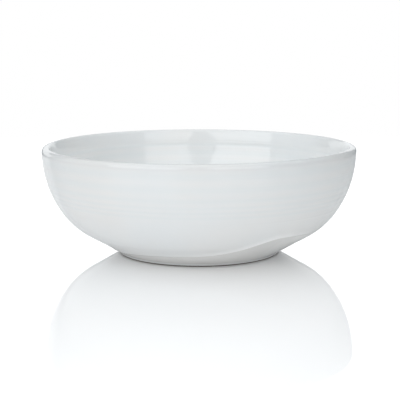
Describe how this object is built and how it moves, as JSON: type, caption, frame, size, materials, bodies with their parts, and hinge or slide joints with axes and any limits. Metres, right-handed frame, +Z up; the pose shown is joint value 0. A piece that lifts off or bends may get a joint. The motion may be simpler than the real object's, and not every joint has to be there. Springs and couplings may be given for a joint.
{
  "type": "serving bowl",
  "caption": "Round white glazed porcelain serving bowl with a thick rolled lip, soft throwing rings and a low bare foot ring, for holding food.",
  "frame": {"origin": "centre of the circle that the foot stands on, in the plane of the table", "axes": "+Z up the axis of the bowl, from the foot to the open rim; X and Y are level and interchangeable"},
  "size_m": [0.25, 0.25, 0.086],
  "materials": {
    "porcelain_body": "fired, hidden under the glaze",
    "bare_porcelain": "bare fired porcelain, fine-grained and matt",
    "outer_glaze": "clear white gloss glaze",
    "inner_glaze": "clear white gloss glaze",
    "well_glaze": "clear white gloss glaze"
  },
  "bodies": {
    "root": {"bowl_body": "porcelain_body", "foot_ring": "bare_porcelain", "outer_glaze": "outer_glaze", "inner_glaze": "inner_glaze", "well_glaze": "well_glaze"}
  },
  "joints": []
}
